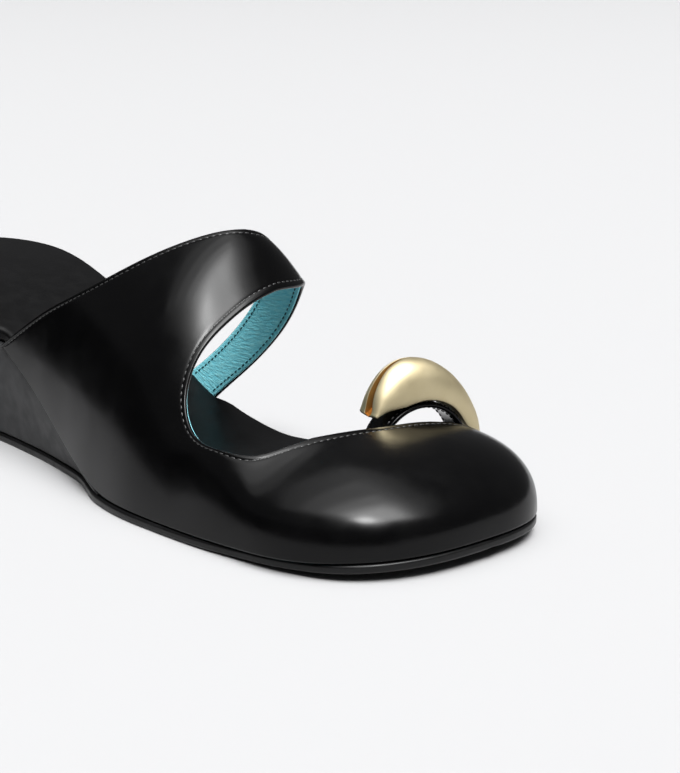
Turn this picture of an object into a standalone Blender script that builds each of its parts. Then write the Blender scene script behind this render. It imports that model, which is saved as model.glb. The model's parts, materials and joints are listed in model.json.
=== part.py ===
# Wedge mule for the right foot, as a builder of shoes would put it together:
# outsole, wedge, footbed, one-piece upper, toe loop and a metal crescent on the loop.
# Lengths are in metres. X runs from heel to toe, Y to the inner side of the foot, Z up.

import bmesh
import bpy
import math
import numpy as np

# Driving sizes of the last
LENGTH = 0.2535
BALL_WIDTH = 0.0880
HEEL_HEIGHT = 0.0503
INSTEP_HEIGHT = 0.0800
TOE_SPRING = 0.0035

# Thicknesses and small sizes
SOLE_THICKNESS = 0.0026
SOLE_EDGE = 0.0009
WAIST_TUCK = 0.0040
WEDGE_INSET = 0.0006
FOOTBED_THICKNESS = 0.0044
FOOTBED_EDGE = 0.0012
WALL = 0.0020
CLEAR = 0.0003
FOOTBED_CLEAR = 0.0005

# Toe loop and crescent
LOOP_X = 0.8205 * LENGTH
LOOP_Y = 0.2830 * BALL_WIDTH
LOOP_TURN = 0.2311
LOOP_RADIUS = 0.0138
LOOP_RISE = 0.0169
LOOP_WIDTH = 0.0100
LOOP_THICKNESS = 0.0016
CRESCENT_HEIGHT = 0.0112
CRESCENT_WIDTH = 0.0124
SLOT_WIDTH = 0.0034
SLOT_DEPTH = 0.0042
SLOT_LIP = 0.0012

# Where the round ends of the last start, and how square they are
HEEL_ROUND = 0.137
HEEL_POWER = 2.2
TOE_ROUND = 0.828
TOE_POWER = 2.6
SPRING_START = 0.667

# The origin lies on the floor under the middle of the shoe
ORIGIN_X = 0.5 * LENGTH
ORIGIN_Y = 0.0225 * BALL_WIDTH

# Feather line, where the upper meets the sole
# along the length, outer side, inner side: shares of length and of ball width
PLAN = [
    (0.00, -0.345, 0.345),
    (0.137, -0.345, 0.342),
    (0.235, -0.326, 0.312),
    (0.353, -0.345, 0.277),
    (0.451, -0.386, 0.286),
    (0.549, -0.444, 0.345),
    (0.647, -0.482, 0.430),
    (0.745, -0.486, 0.505),
    (0.833, -0.478, 0.535),
    (1.00, -0.440, 0.520),
]

# Ridge of the last: along the length, ridge across (of ball width),
# height (of instep height), power of the cross-section (2 is an ellipse)
RIDGE = [
    (0.00, -0.02, 1.150, 2.00),
    (0.216, -0.02, 1.120, 2.00),
    (0.363, -0.01, 1.090, 2.00),
    (0.461, 0.01, 1.050, 2.00),
    (0.559, 0.03, 0.997, 2.00),
    (0.627, 0.04, 0.978, 1.85),
    (0.706, 0.02, 0.698, 1.76),
    (0.775, 0.06, 0.552, 2.20),
    (0.843, 0.09, 0.368, 2.44),
    (0.912, 0.10, 0.362, 2.44),
    (1.00, 0.10, 0.325, 2.60),
]

# Height of the feather line over the forefoot: along the length, share of the heel's lift
RISE = [
    (0.00, 1.000),
    (0.118, 0.925),
    (0.216, 0.825),
    (0.314, 0.660),
    (0.412, 0.400),
    (0.471, 0.215),
    (0.529, 0.075),
    (0.588, 0.000),
    (1.00, 0.000),
]

# How far the upper swells past the feather line: along the length, share of the half width
SWELL = [
    (0.00, 0.000),
    (0.314, 0.000),
    (0.510, 0.008),
    (0.706, 0.024),
    (0.853, 0.040),
    (1.00, 0.040),
]

# How far the sole tucks in below the feather line: along the length, share of the waist tuck
TUCK = [
    (0.00, 0.35),
    (0.137, 1.00),
    (0.265, 1.20),
    (0.353, 1.10),
    (0.431, 1.03),
    (0.480, 0.97),
    (0.525, 0.42),
    (0.559, -0.08),
    (0.598, -0.20),
    (0.667, -0.14),
    (0.755, 0.00),
    (0.833, 0.35),
    (0.892, 0.45),
    (0.951, 0.10),
    (1.00, 0.00),
]

# The upper, a row for each section from the strap's inner end over the instep and round the toe.
# Cut-out edge (along, girth) and outer edge (along, girth): along is a share of the length,
# girth runs from -1 at the outer feather line over 0 at the ridge to 1 at the inner one.
UPPER = [
    (0.463, 1.000, 0.417, 1.000),
    (0.509, 0.862, 0.459, 0.872),
    (0.580, 0.664, 0.518, 0.692),
    (0.635, 0.460, 0.577, 0.480),
    (0.671, 0.270, 0.617, 0.260),
    (0.685, 0.070, 0.630, 0.050),
    (0.688, -0.120, 0.614, -0.125),
    (0.687, -0.290, 0.569, -0.300),
    (0.685, -0.430, 0.500, -0.500),
    (0.692, -0.550, 0.412, -0.715),
    (0.714, -0.618, 0.313, -1.000),
    (0.745, -0.642, 0.490, -1.000),
    (0.778, -0.618, 0.657, -1.000),
    (0.807, -0.525, 0.794, -1.000),
    (0.822, -0.370, 0.900, -0.890),
    (0.830, -0.200, 0.970, -0.660),
    (0.836, -0.020, 0.996, -0.330),
    (0.842, 0.140, 0.999, 0.120),
    (0.848, 0.310, 0.984, 0.530),
    (0.853, 0.480, 0.937, 0.790),
    (0.857, 0.660, 0.863, 0.990),
]
CORNER_ROW = 10
UPPER_STEPS = 88
UPPER_ACROSS = 12

# Where the wall of the upper stands beside the footbed: shares of the length
OUTER_WALL_START = 0.297
STRAP_START = 0.401
STRAP_END = 0.491
TOE_WALL_START = 0.845
WALL_BLEND = 0.014

# Crescent: turn from the loop's inner side (degrees), bottom and top of the metal
# over the loop (shares of its height), half width (share of its width)
CRESCENT = [
    (-3.0, 0.38, 0.54, 0.10),
    (5.0, 0.24, 0.57, 0.20),
    (18.0, 0.10, 0.58, 0.29),
    (33.0, 0.00, 0.60, 0.37),
    (51.0, 0.00, 0.70, 0.44),
    (68.0, 0.00, 0.86, 0.49),
    (85.0, 0.00, 1.03, 0.50),
    (100.0, 0.00, 1.10, 0.50),
    (110.0, 0.01, 1.04, 0.49),
    (120.0, 0.10, 0.89, 0.47),
    (130.0, 0.26, 0.70, 0.43),
    (139.0, 0.38, 0.49, 0.38),
]
CRESCENT_STEPS = 44
CRESCENT_SIDES = 20
CRESCENT_WAIST = 0.08
CRESCENT_POWER = 2.3

# The slot runs from the crescent's crown to its blunt end
SLOT_START = 90.0
SLOT_BACK = 0.15
SLOT_SINK = 3.0
SLOT_END = 146.0


def along(table, x, column=1):
    """Reads a column of a table at x, smoothly and without overshoot."""
    rows = np.array(table, float)
    places, values = rows[:, 0], rows[:, column]
    steps = np.diff(places)
    slopes = np.diff(values) / steps
    tangents = np.zeros(len(places))
    tangents[0], tangents[-1] = slopes[0], slopes[-1]
    for i in range(1, len(places) - 1):
        if slopes[i - 1] * slopes[i] > 0:
            before = 2 * steps[i] + steps[i - 1]
            after = steps[i] + 2 * steps[i - 1]
            tangents[i] = (before + after) / (before / slopes[i - 1] + after / slopes[i])
    x = np.clip(np.asarray(x, float), places[0], places[-1])
    k = np.clip(np.searchsorted(places, x) - 1, 0, len(steps) - 1)
    s = (x - places[k]) / steps[k]
    start = (1 + 2 * s) * (1 - s) ** 2 * values[k] + s * (1 - s) ** 2 * steps[k] * tangents[k]
    end = s * s * (3 - 2 * s) * values[k + 1] + s * s * (s - 1) * steps[k] * tangents[k + 1]
    return start + end


def bend(values, t):
    """Natural cubic curve through values at 0, 1, 2 and so on, read at t."""
    values = np.asarray(values, float)
    count = len(values)
    system = np.eye(count)
    right = np.zeros(count)
    for i in range(1, count - 1):
        system[i, i - 1:i + 2] = (1, 4, 1)
        right[i] = 6 * (values[i - 1] - 2 * values[i] + values[i + 1])
    curvature = np.linalg.solve(system, right)
    k = np.clip(np.floor(t).astype(int), 0, count - 2)
    s = t - k
    line = values[k] * (1 - s) + values[k + 1] * s
    return line + ((1 - s) ** 3 - (1 - s)) * curvature[k] / 6 + (s ** 3 - s) * curvature[k + 1] / 6


def round_end(share, power):
    """Width that is left at a share of the way into a round end."""
    return np.clip(1 - np.clip(share, 0, 1) ** power, 0, 1) ** (1 / power)


def spring(x):
    """Height of the sole's underside."""
    return TOE_SPRING * np.clip((x / LENGTH - SPRING_START) / (1 - SPRING_START), 0, None) ** 2


def feather_height(x):
    """Height of the feather line, where upper and footbed stand."""
    lift = HEEL_HEIGHT - SOLE_THICKNESS
    return spring(x) + SOLE_THICKNESS + CLEAR + lift * along(RISE, x / LENGTH)


def edge(x, side, inset=0.0, end_inset=0.0):
    """Y of an outline at x: side is -1 for the outer edge and 1 for the inner one."""
    share = x / LENGTH
    middle = BALL_WIDTH * along(RIDGE, share)
    full = side * (BALL_WIDTH * along(PLAN, share, 1 if side < 0 else 2) - middle) - inset
    toe_start = TOE_ROUND * LENGTH
    toe = (x - toe_start) / (LENGTH - end_inset - toe_start)
    heel = 1 - x / (HEEL_ROUND * LENGTH)
    return middle + side * full * round_end(toe, TOE_POWER) * round_end(heel, HEEL_POWER)


def last_surface(share, girth):
    """Outer face of the upper. Beyond the toe's start, the places shrink toward its middle."""
    past = np.clip((share - TOE_ROUND) / (1 - TOE_ROUND), 0, None)
    reach = np.maximum((past ** TOE_POWER + np.abs(girth) ** TOE_POWER) ** (1 / TOE_POWER), 1e-9)
    turn = np.minimum(reach, 1) * math.pi / 2
    power = along(RIDGE, share, 3)
    swell = 1 + along(SWELL, share) * np.sin(2 * turn) ** 2
    shrink = np.sin(turn) ** (2 / power) * swell / reach
    share = np.where(past > 0, TOE_ROUND + past * shrink * (1 - TOE_ROUND), share)
    x = share * LENGTH
    middle = BALL_WIDTH * along(RIDGE, share)
    outer = BALL_WIDTH * along(PLAN, share, 1)
    inner = BALL_WIDTH * along(PLAN, share, 2)
    half = np.where(girth < 0, middle - outer, inner - middle)
    low = feather_height(x)
    high = INSTEP_HEIGHT * along(RIDGE, share, 2)
    return x, middle + half * girth * shrink, low + (high - low) * np.cos(turn) ** (2 / power)


def onto_feather(share, girth):
    """Moves a place out to the feather line."""
    past = np.clip((share - TOE_ROUND) / (1 - TOE_ROUND), 0, None)
    reach = (past ** TOE_POWER + np.abs(girth) ** TOE_POWER) ** (1 / TOE_POWER)
    share = np.where(past > 0, TOE_ROUND + past / reach * (1 - TOE_ROUND), share)
    return share, girth / reach


def upper_place(run, across):
    """Place on the last for a run along the upper (0 to 1) and across it (0 at the cut-out)."""
    table = np.array(UPPER)
    row = run * (len(UPPER) - 1)
    inner = bend(table[:, 0], row), bend(table[:, 1], row)
    topline_row = np.minimum(row, CORNER_ROW)
    topline = [bend(table[:CORNER_ROW + 1, c], topline_row) for c in (2, 3)]
    feather_row = np.maximum(row - CORNER_ROW, 0)
    feather = onto_feather(*[bend(table[CORNER_ROW:, c], feather_row) for c in (2, 3)])
    outer = [np.where(row <= CORNER_ROW, top, low) for top, low in zip(topline, feather)]
    return [a + (b - a) * across for a, b in zip(inner, outer)]


def new_object(name, mesh, material, group):
    """Puts a mesh into the scene as one named piece."""
    piece = bpy.data.objects.new(name, mesh)
    mesh.materials.append(material)
    group.objects.link(piece)
    mesh.shade_smooth()
    return piece


def make_material(name, colour, roughness, metallic=0.0):
    material = bpy.data.materials.new(name)
    material.use_nodes = True
    shader = material.node_tree.nodes["Principled BSDF"]
    shader.inputs["Base Color"].default_value = (*colour, 1.0)
    shader.inputs["Roughness"].default_value = roughness
    shader.inputs["Metallic"].default_value = metallic
    return material


def loft(name, sections):
    """Skins closed sections of equal point count and caps both ends."""
    mesh = bmesh.new()
    rings = [[mesh.verts.new(point) for point in section] for section in sections]
    count = len(rings[0])
    for first, second in zip(rings, rings[1:]):
        for i in range(count):
            j = (i + 1) % count
            mesh.faces.new((first[i], first[j], second[j], second[i]))
    mesh.faces.new(rings[0][::-1])
    mesh.faces.new(rings[-1])
    bmesh.ops.recalc_face_normals(mesh, faces=mesh.faces)
    data = bpy.data.meshes.new(name)
    mesh.to_mesh(data)
    mesh.free()
    data.set_sharp_from_angle(angle=math.radians(40))
    return data


def stations(start, stop, middle, heel=0, toe=0):
    """Places along the shoe, drawn together at a round heel or toe."""
    first = HEEL_ROUND * LENGTH if heel else start
    last = TOE_ROUND * LENGTH if toe else stop
    places = list(np.linspace(first, last, middle))
    if heel:
        turns = np.linspace(0.04, math.pi / 2, heel)[:-1]
        places = [start + (first - start) * (1 - math.cos(t) ** (2 / HEEL_POWER)) for t in turns] + places
    if toe:
        turns = np.linspace(0, math.pi / 2 - 0.04, toe)[1:]
        places += [last + (stop - last) * math.sin(t) ** (2 / TOE_POWER) for t in turns]
    return np.array(places)


def place(x, y, z):
    """Moves a place of the last into the frame of the shoe."""
    return x - ORIGIN_X, y - ORIGIN_Y, z


def slab_section(x, bottom, top, edges, corner):
    """Cross-section of a sole layer at x: edges holds outer and inner Y, bottom and top."""
    (outer_low, inner_low), (outer_high, inner_high) = edges
    corner = min(corner, 0.3 * (inner_high - outer_high), 0.45 * (top - bottom))
    soft = 0.3 * corner
    points = [
        (outer_low + corner, bottom), (inner_low - corner, bottom),
        (inner_low - soft, bottom + soft), (inner_low, bottom + corner),
        (inner_high, top - corner), (inner_high - soft, top - soft),
        (inner_high - corner, top), (outer_high + corner, top),
        (outer_high + soft, top - soft), (outer_high, top - corner),
        (outer_low, bottom + corner), (outer_low + soft, bottom + soft),
    ]
    return [place(x, y, z) for y, z in points]


def outsole_sections():
    sections = []
    for x in stations(0, LENGTH, 26, heel=12, toe=18):
        tuck = WAIST_TUCK * along(TUCK, x / LENGTH)
        edges = edge(x, -1, tuck), edge(x, 1, tuck)
        bottom = spring(x)
        sections.append(slab_section(x, bottom, bottom + SOLE_THICKNESS, (edges, edges), SOLE_EDGE))
    return sections


def wedge_end():
    """Place where the wedge has run out to a thin lip."""
    places = np.linspace(0.45, 0.6, 301) * LENGTH
    lift = (HEEL_HEIGHT - SOLE_THICKNESS) * along(RISE, places / LENGTH)
    return places[np.argmax(lift < 3 * CLEAR)]


def wedge_sections():
    sections = []
    for x in stations(0, wedge_end(), 26, heel=12):
        tuck = WAIST_TUCK * along(TUCK, x / LENGTH) + WEDGE_INSET
        low = edge(x, -1, tuck), edge(x, 1, tuck)
        high = edge(x, -1, WEDGE_INSET), edge(x, 1, WEDGE_INSET)
        top = feather_height(x) - CLEAR
        sections.append(slab_section(x, spring(x) + SOLE_THICKNESS + CLEAR, top, (low, high), CLEAR))
    return sections


def wall_inset(share, spans):
    """Room for the wall of the upper beside the footbed, faded in and out along each span."""
    room = 0.0
    for start, stop in spans:
        rise = np.clip((share - start) / WALL_BLEND, 0, 1)
        fall = np.clip((stop - share) / WALL_BLEND, 0, 1)
        shown = min(rise, fall)
        room = max(room, shown * shown * (3 - 2 * shown))
    return room * (WALL + FOOTBED_CLEAR)


def footbed_stations(stop):
    """Places for the footbed, closer together where it makes room for the wall."""
    places = list(stations(0, stop, 24, heel=12, toe=14))
    for start in (OUTER_WALL_START, STRAP_START, STRAP_END - WALL_BLEND, TOE_WALL_START):
        for step in (0.0, 0.25, 0.5, 0.75, 1.0):
            places.append((start + step * WALL_BLEND) * LENGTH)
    places.sort()
    kept = [places[0]]
    for x in places[1:]:
        if x - kept[-1] > 0.08 * WALL_BLEND * LENGTH:
            kept.append(x)
    return kept


def footbed_sections():
    end = WALL + FOOTBED_CLEAR
    outer_spans = [(OUTER_WALL_START, 2.0)]
    inner_spans = [(STRAP_START, STRAP_END), (TOE_WALL_START, 2.0)]
    sections = []
    for x in footbed_stations(LENGTH - end):
        share = x / LENGTH
        outer = edge(x, -1, wall_inset(share, outer_spans), end)
        inner = edge(x, 1, wall_inset(share, inner_spans), end)
        bottom = feather_height(x)
        edges = (outer, inner)
        sections.append(slab_section(x, bottom, bottom + FOOTBED_THICKNESS, (edges, edges), FOOTBED_EDGE))
    return sections


def make_upper(material, group):
    """One sheet laid over the last and given the thickness of the wall."""
    sheet = bmesh.new()
    bmesh.ops.create_grid(sheet, x_segments=UPPER_STEPS, y_segments=UPPER_ACROSS, size=1.0)
    for vert in sheet.verts:
        run, across = (vert.co.x + 1) / 2, (vert.co.y + 1) / 2
        share, girth = upper_place(np.array(run), np.array(across))
        vert.co = place(*[float(v) for v in last_surface(share, girth)])
    bmesh.ops.reverse_faces(sheet, faces=sheet.faces)
    data = bpy.data.meshes.new("upper")
    sheet.to_mesh(data)
    sheet.free()
    piece = new_object("upper", data, material, group)
    wall = piece.modifiers.new("wall", "SOLIDIFY")
    wall.thickness = WALL
    wall.offset = -1.0
    wall.use_even_offset = True
    return piece


def loop_frame(radius, turn, depth):
    """Place round the toe loop: turn from its inner side in degrees, depth toward the toe."""
    angle = math.radians(turn)
    run = radius * math.cos(angle)
    height = LOOP_RISE + radius * math.sin(angle)
    x = LOOP_X + run * math.sin(LOOP_TURN) + depth * math.cos(LOOP_TURN)
    y = LOOP_Y + run * math.cos(LOOP_TURN) - depth * math.sin(LOOP_TURN)
    return place(x, y, height)


def loop_sections():
    """Strap bent over the big toe, with straight legs down to the footbed."""
    foot = feather_height(LOOP_X + LOOP_RADIUS * math.sin(LOOP_TURN)) + FOOTBED_THICKNESS + CLEAR
    radii = LOOP_RADIUS, LOOP_RADIUS + LOOP_THICKNESS
    half = LOOP_WIDTH / 2
    soft = 0.2 * LOOP_THICKNESS
    profile = [
        (radii[0], -half + soft), (radii[0], half - soft), (radii[0] + soft, half), (radii[1] - soft, half),
        (radii[1], half - soft), (radii[1], -half + soft), (radii[1] - soft, -half), (radii[0] + soft, -half),
    ]
    sections = []
    for turn, drop in [(0, 1.0), (0, 0.5)] + [(t, 0.0) for t in np.linspace(0, 180, 25)] + [(180, 0.5), (180, 1.0)]:
        points = [loop_frame(radius, turn, depth) for radius, depth in profile]
        sections.append([(x, y, z - drop * (LOOP_RISE - foot)) for x, y, z in points])
    return sections


def crescent_size(turn):
    """Inner and outer radius and half width of the crescent at a turn round the loop."""
    seat = LOOP_RADIUS + LOOP_THICKNESS + CLEAR
    low = seat + CRESCENT_HEIGHT * along(CRESCENT, turn, 1)
    high = seat + CRESCENT_HEIGHT * along(CRESCENT, turn, 2)
    return low, high, CRESCENT_WIDTH * along(CRESCENT, turn, 3)


def crescent_sections():
    """Domed metal: widest a third of the way out, round at the rim, nearly flat on the loop."""
    sections = []
    for turn in np.linspace(CRESCENT[0][0], CRESCENT[-1][0], CRESCENT_STEPS):
        low, high, half = crescent_size(turn)
        waist = low + CRESCENT_WAIST * (high - low)
        points = []
        for k in range(CRESCENT_SIDES):
            angle = 2 * math.pi * (k + 0.5) / CRESCENT_SIDES
            side, out = math.sin(angle), math.cos(angle)
            power = 2 / CRESCENT_POWER
            depth = half * math.copysign(abs(side) ** power, side)
            reach = (high - waist) if out > 0 else (waist - low)
            points.append(loop_frame(waist + reach * math.copysign(abs(out) ** power, out), turn, depth))
        sections.append(points)
    return sections


def slot_sections():
    """Cutter for the slot: it widens and deepens from the crown to the blunt end."""
    sections = []
    for turn in np.linspace(SLOT_START, SLOT_END, 24):
        low, high, half = crescent_size(turn)
        share = (turn - SLOT_START) / (CRESCENT[-1][0] - SLOT_START)
        width = SLOT_WIDTH * (0.04 + 0.96 * min(share, 1.0))
        floor = max(high - SLOT_DEPTH * min(SLOT_SINK * share, 1.0), low + SLOT_LIP)
        back = -SLOT_BACK * half
        corners = [(floor, back), (floor, back + width), (high + CRESCENT_HEIGHT, back + width),
                   (high + CRESCENT_HEIGHT, back)]
        sections.append([loop_frame(radius, turn, depth) for radius, depth in corners])
    return sections


def make_crescent(material, group, cutters):
    piece = new_object("crescent", loft("crescent", crescent_sections()), material, group)
    cutter = bpy.data.objects.new("slot", loft("slot", slot_sections()))
    cutters.objects.link(cutter)
    cutter.hide_render = True
    cutter.display_type = "WIRE"
    cut = piece.modifiers.new("slot", "BOOLEAN")
    cut.operation = "DIFFERENCE"
    cut.solver = "EXACT"
    cut.object = cutter
    return piece


def build():
    for old in list(bpy.data.objects):
        bpy.data.objects.remove(old)
    shoe = bpy.data.collections.new("wedge_mule")
    cutters = bpy.data.collections.new("cutters")
    for group in (shoe, cutters):
        bpy.context.scene.collection.children.link(group)

    rubber = make_material("sole_rubber", (0.012, 0.012, 0.013), 0.45)
    covering = make_material("wedge_leather", (0.045, 0.046, 0.050), 0.55)
    bedding = make_material("footbed_leather", (0.020, 0.020, 0.022), 0.60)
    leather = make_material("upper_leather", (0.006, 0.006, 0.007), 0.16)
    metal = make_material("gold_metal", (0.80, 0.70, 0.50), 0.12, 1.0)

    new_object("outsole", loft("outsole", outsole_sections()), rubber, shoe)
    new_object("wedge", loft("wedge", wedge_sections()), covering, shoe)
    new_object("footbed", loft("footbed", footbed_sections()), bedding, shoe)
    make_upper(leather, shoe)
    new_object("toe_loop", loft("toe_loop", loop_sections()), leather, shoe)
    make_crescent(metal, shoe, cutters)


build()
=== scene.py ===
# %% [markdown]
# # A wedge mule in glossy black leather
# This notebook dresses the solids of a right-foot mule. The solids already have the true shape of
# the last, the wooden form that a shoe is pulled over. What they lack is what leather shows up
# close: a folded edge, a lining, rows of stitches, grain and gloss. Each cell makes one of these.
# Lengths are in metres. X runs from heel to toe, Y to the inner side of the foot and Z up.

# %% Load the frame
import json
import math

import bmesh
import bpy
import numpy as np
from mathutils import Matrix, Vector

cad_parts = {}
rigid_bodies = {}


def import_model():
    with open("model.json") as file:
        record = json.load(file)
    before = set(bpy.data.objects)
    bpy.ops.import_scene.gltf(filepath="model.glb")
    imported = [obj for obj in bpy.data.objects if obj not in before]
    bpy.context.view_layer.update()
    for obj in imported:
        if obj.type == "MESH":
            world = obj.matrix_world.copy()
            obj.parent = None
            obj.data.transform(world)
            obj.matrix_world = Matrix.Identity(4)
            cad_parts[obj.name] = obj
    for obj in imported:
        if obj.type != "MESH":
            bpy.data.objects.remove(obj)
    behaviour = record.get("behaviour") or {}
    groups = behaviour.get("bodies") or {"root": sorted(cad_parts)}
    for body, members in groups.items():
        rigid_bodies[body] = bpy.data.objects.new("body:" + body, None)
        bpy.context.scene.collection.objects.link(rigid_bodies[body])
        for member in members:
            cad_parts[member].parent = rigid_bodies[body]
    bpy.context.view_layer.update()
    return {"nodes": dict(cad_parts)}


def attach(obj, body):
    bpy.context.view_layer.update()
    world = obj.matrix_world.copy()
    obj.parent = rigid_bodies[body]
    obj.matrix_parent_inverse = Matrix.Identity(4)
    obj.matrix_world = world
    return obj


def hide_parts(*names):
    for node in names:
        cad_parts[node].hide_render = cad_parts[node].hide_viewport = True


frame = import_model()
MM = 0.001
print("nodes:", ", ".join(sorted(frame["nodes"])))

# %% [markdown]
# ## The last in a few numbers
# A shoemaker knows a last by its length, its width at the ball, its heel height and the height of
# the instep. The tables below hold the rest as shares of those four, one row for each section. The
# solids were made from the same numbers, so a finer surface drawn from them lies on the solids. That
# is why the tables are repeated here.

# %% Driving sizes
LENGTH = 0.2535
BALL_WIDTH = 0.0880
HEEL_HEIGHT = 0.0503
INSTEP_HEIGHT = 0.0800
TOE_SPRING = 0.0035
SOLE_THICKNESS = 0.0026
FOOTBED_THICKNESS = 0.0044
WAIST_TUCK = 0.0040
WEDGE_INSET = 0.0006
WALL = 0.0020
CLEAR = 0.0003
FOOTBED_CLEAR = 0.0005
HEEL_ROUND, HEEL_POWER = 0.137, 2.2
TOE_ROUND, TOE_POWER = 0.828, 2.6
SPRING_START = 0.667
ORIGIN = Vector((0.5 * LENGTH, 0.0225 * BALL_WIDTH, 0.0))

# %% Tables of the last
# along the length, outer side, inner side: shares of length and of ball width
PLAN = [
    (0.00, -0.345, 0.345), (0.137, -0.345, 0.342), (0.235, -0.326, 0.312), (0.353, -0.345, 0.277),
    (0.451, -0.386, 0.286), (0.549, -0.444, 0.345), (0.647, -0.482, 0.430), (0.745, -0.486, 0.505),
    (0.833, -0.478, 0.535), (1.00, -0.440, 0.520),
]
# along the length, ridge across, height (of instep height), power of the cross-section
RIDGE = [
    (0.00, -0.02, 1.150, 2.00), (0.216, -0.02, 1.120, 2.00), (0.363, -0.01, 1.090, 2.00),
    (0.461, 0.01, 1.050, 2.00), (0.559, 0.03, 0.997, 2.00), (0.627, 0.04, 0.978, 1.85),
    (0.706, 0.02, 0.698, 1.76), (0.775, 0.06, 0.552, 2.20), (0.843, 0.09, 0.368, 2.44),
    (0.912, 0.10, 0.362, 2.44), (1.00, 0.10, 0.325, 2.60),
]
# along the length, height of the feather line (share of the heel's lift)
RISE = [
    (0.00, 1.000), (0.118, 0.925), (0.216, 0.825), (0.314, 0.660), (0.412, 0.400),
    (0.471, 0.215), (0.529, 0.075), (0.588, 0.000), (1.00, 0.000),
]
# along the length, swell of the upper past the feather line (share of the half width)
SWELL = [(0.00, 0.000), (0.314, 0.000), (0.510, 0.008), (0.706, 0.024), (0.853, 0.040), (1.00, 0.040)]
# along the length, tuck of the sole under the feather line (share of the waist tuck)
TUCK = [
    (0.00, 0.35), (0.137, 1.00), (0.265, 1.20), (0.353, 1.10), (0.431, 1.03), (0.480, 0.97),
    (0.525, 0.42), (0.559, -0.08), (0.598, -0.20), (0.667, -0.14), (0.755, 0.00), (0.833, 0.35),
    (0.892, 0.45), (0.951, 0.10), (1.00, 0.00),
]
print("rows of outline, ridge, rise, swell and tuck:", *[len(t) for t in (PLAN, RIDGE, RISE, SWELL, TUCK)])

# %% [markdown]
# ## Reading a table softly
# Glossy leather shows every jump in curvature as a kink in its highlights. A cubic through the rows
# keeps its slope but not its curvature, so each reading here is the mean of five readings close
# together, with the weights 1, 4, 6, 4, 1. The highlights then run through smoothly. The cell prints
# how far this moves the form: most at the ridge in front of the instep, which bends sharpest.

# %% Table readers
SOFT_STEP = 0.012


def cubic(rows, x, column):
    """Cubic through a column of the rows at x, with no overshoot."""
    places, values = rows[:, 0], rows[:, column]
    steps = np.diff(places)
    slopes = np.diff(values) / steps
    tangents = np.zeros(len(places))
    tangents[0], tangents[-1] = slopes[0], slopes[-1]
    for i in range(1, len(places) - 1):
        if slopes[i - 1] * slopes[i] > 0:
            before = 2 * steps[i] + steps[i - 1]
            after = steps[i] + 2 * steps[i - 1]
            tangents[i] = (before + after) / (before / slopes[i - 1] + after / slopes[i])
    x = np.clip(x, places[0], places[-1])
    k = np.clip(np.searchsorted(places, x) - 1, 0, len(steps) - 1)
    s = (x - places[k]) / steps[k]
    start = (1 + 2 * s) * (1 - s) ** 2 * values[k] + s * (1 - s) ** 2 * steps[k] * tangents[k]
    end = s * s * (3 - 2 * s) * values[k + 1] + s * s * (s - 1) * steps[k] * tangents[k + 1]
    return start + end


def along(table, x, column=1, step=SOFT_STEP):
    """Reads a column of a table at x, as the weighted mean of five readings."""
    rows = np.array(table, float)
    x = np.asarray(x, float)
    weights = (1 / 16, 4 / 16, 6 / 16, 4 / 16, 1 / 16)
    return sum(w * cubic(rows, x + (i - 2) * step, column) for i, w in enumerate(weights))


def bend(values, t):
    """Natural cubic curve through values at 0, 1, 2 and so on, read at t."""
    count = len(values)
    system, right = np.eye(count), np.zeros(count)
    for i in range(1, count - 1):
        system[i, i - 1:i + 2] = (1, 4, 1)
        right[i] = 6 * (values[i - 1] - 2 * values[i] + values[i + 1])
    curvature = np.linalg.solve(system, right)
    k = np.clip(np.floor(t).astype(int), 0, count - 2)
    s = t - k
    line = values[k] * (1 - s) + values[k + 1] * s
    return line + ((1 - s) ** 3 - (1 - s)) * curvature[k] / 6 + (s ** 3 - s) * curvature[k + 1] / 6


def smooth(x):
    """Eases from 0 to 1."""
    x = np.clip(x, 0, 1)
    return x * x * (3 - 2 * x)


trial = np.linspace(0, 1, 501)
for label, table, column, size in (("outline", PLAN, 1, BALL_WIDTH), ("ridge", RIDGE, 2, INSTEP_HEIGHT)):
    moved = np.abs(along(table, trial, column) - cubic(np.array(table, float), trial, column)) * size
    print(f"softening moves the {label} by up to {moved.max() / MM:.2f} mm")

# %% [markdown]
# ## The surfaces of the shoe
# Two functions hold the whole form. `edge` gives the outline of the sole at any place along it, and
# `last_surface` gives the skin of the last at a share of the length and a share of the girth, from
# -1 at the outer feather line over 0 at the ridge to 1 at the inner feather line.

# %% Outline and skin of the last
def round_end(share, power):
    """Width left at a share of the way into a rounded end."""
    return np.clip(1 - np.clip(share, 0, 1) ** power, 0, 1) ** (1 / power)


def spring(x):
    """Height of the sole's underside."""
    return TOE_SPRING * np.clip((x / LENGTH - SPRING_START) / (1 - SPRING_START), 0, None) ** 2


def feather_height(x):
    """Height of the line where upper and footbed stand on the sole."""
    lift = HEEL_HEIGHT - SOLE_THICKNESS
    return spring(x) + SOLE_THICKNESS + CLEAR + lift * along(RISE, x / LENGTH)


def edge(x, side, inset=0.0, end_inset=0.0):
    """Y of the outline at x: side is -1 for the outer edge and 1 for the inner one."""
    share = x / LENGTH
    middle = BALL_WIDTH * along(RIDGE, share)
    full = side * (BALL_WIDTH * along(PLAN, share, 1 if side < 0 else 2) - middle) - inset
    toe_start = TOE_ROUND * LENGTH
    toe = (x - toe_start) / (LENGTH - end_inset - toe_start)
    heel = 1 - x / (HEEL_ROUND * LENGTH)
    return middle + side * full * round_end(toe, TOE_POWER) * round_end(heel, HEEL_POWER)


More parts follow.
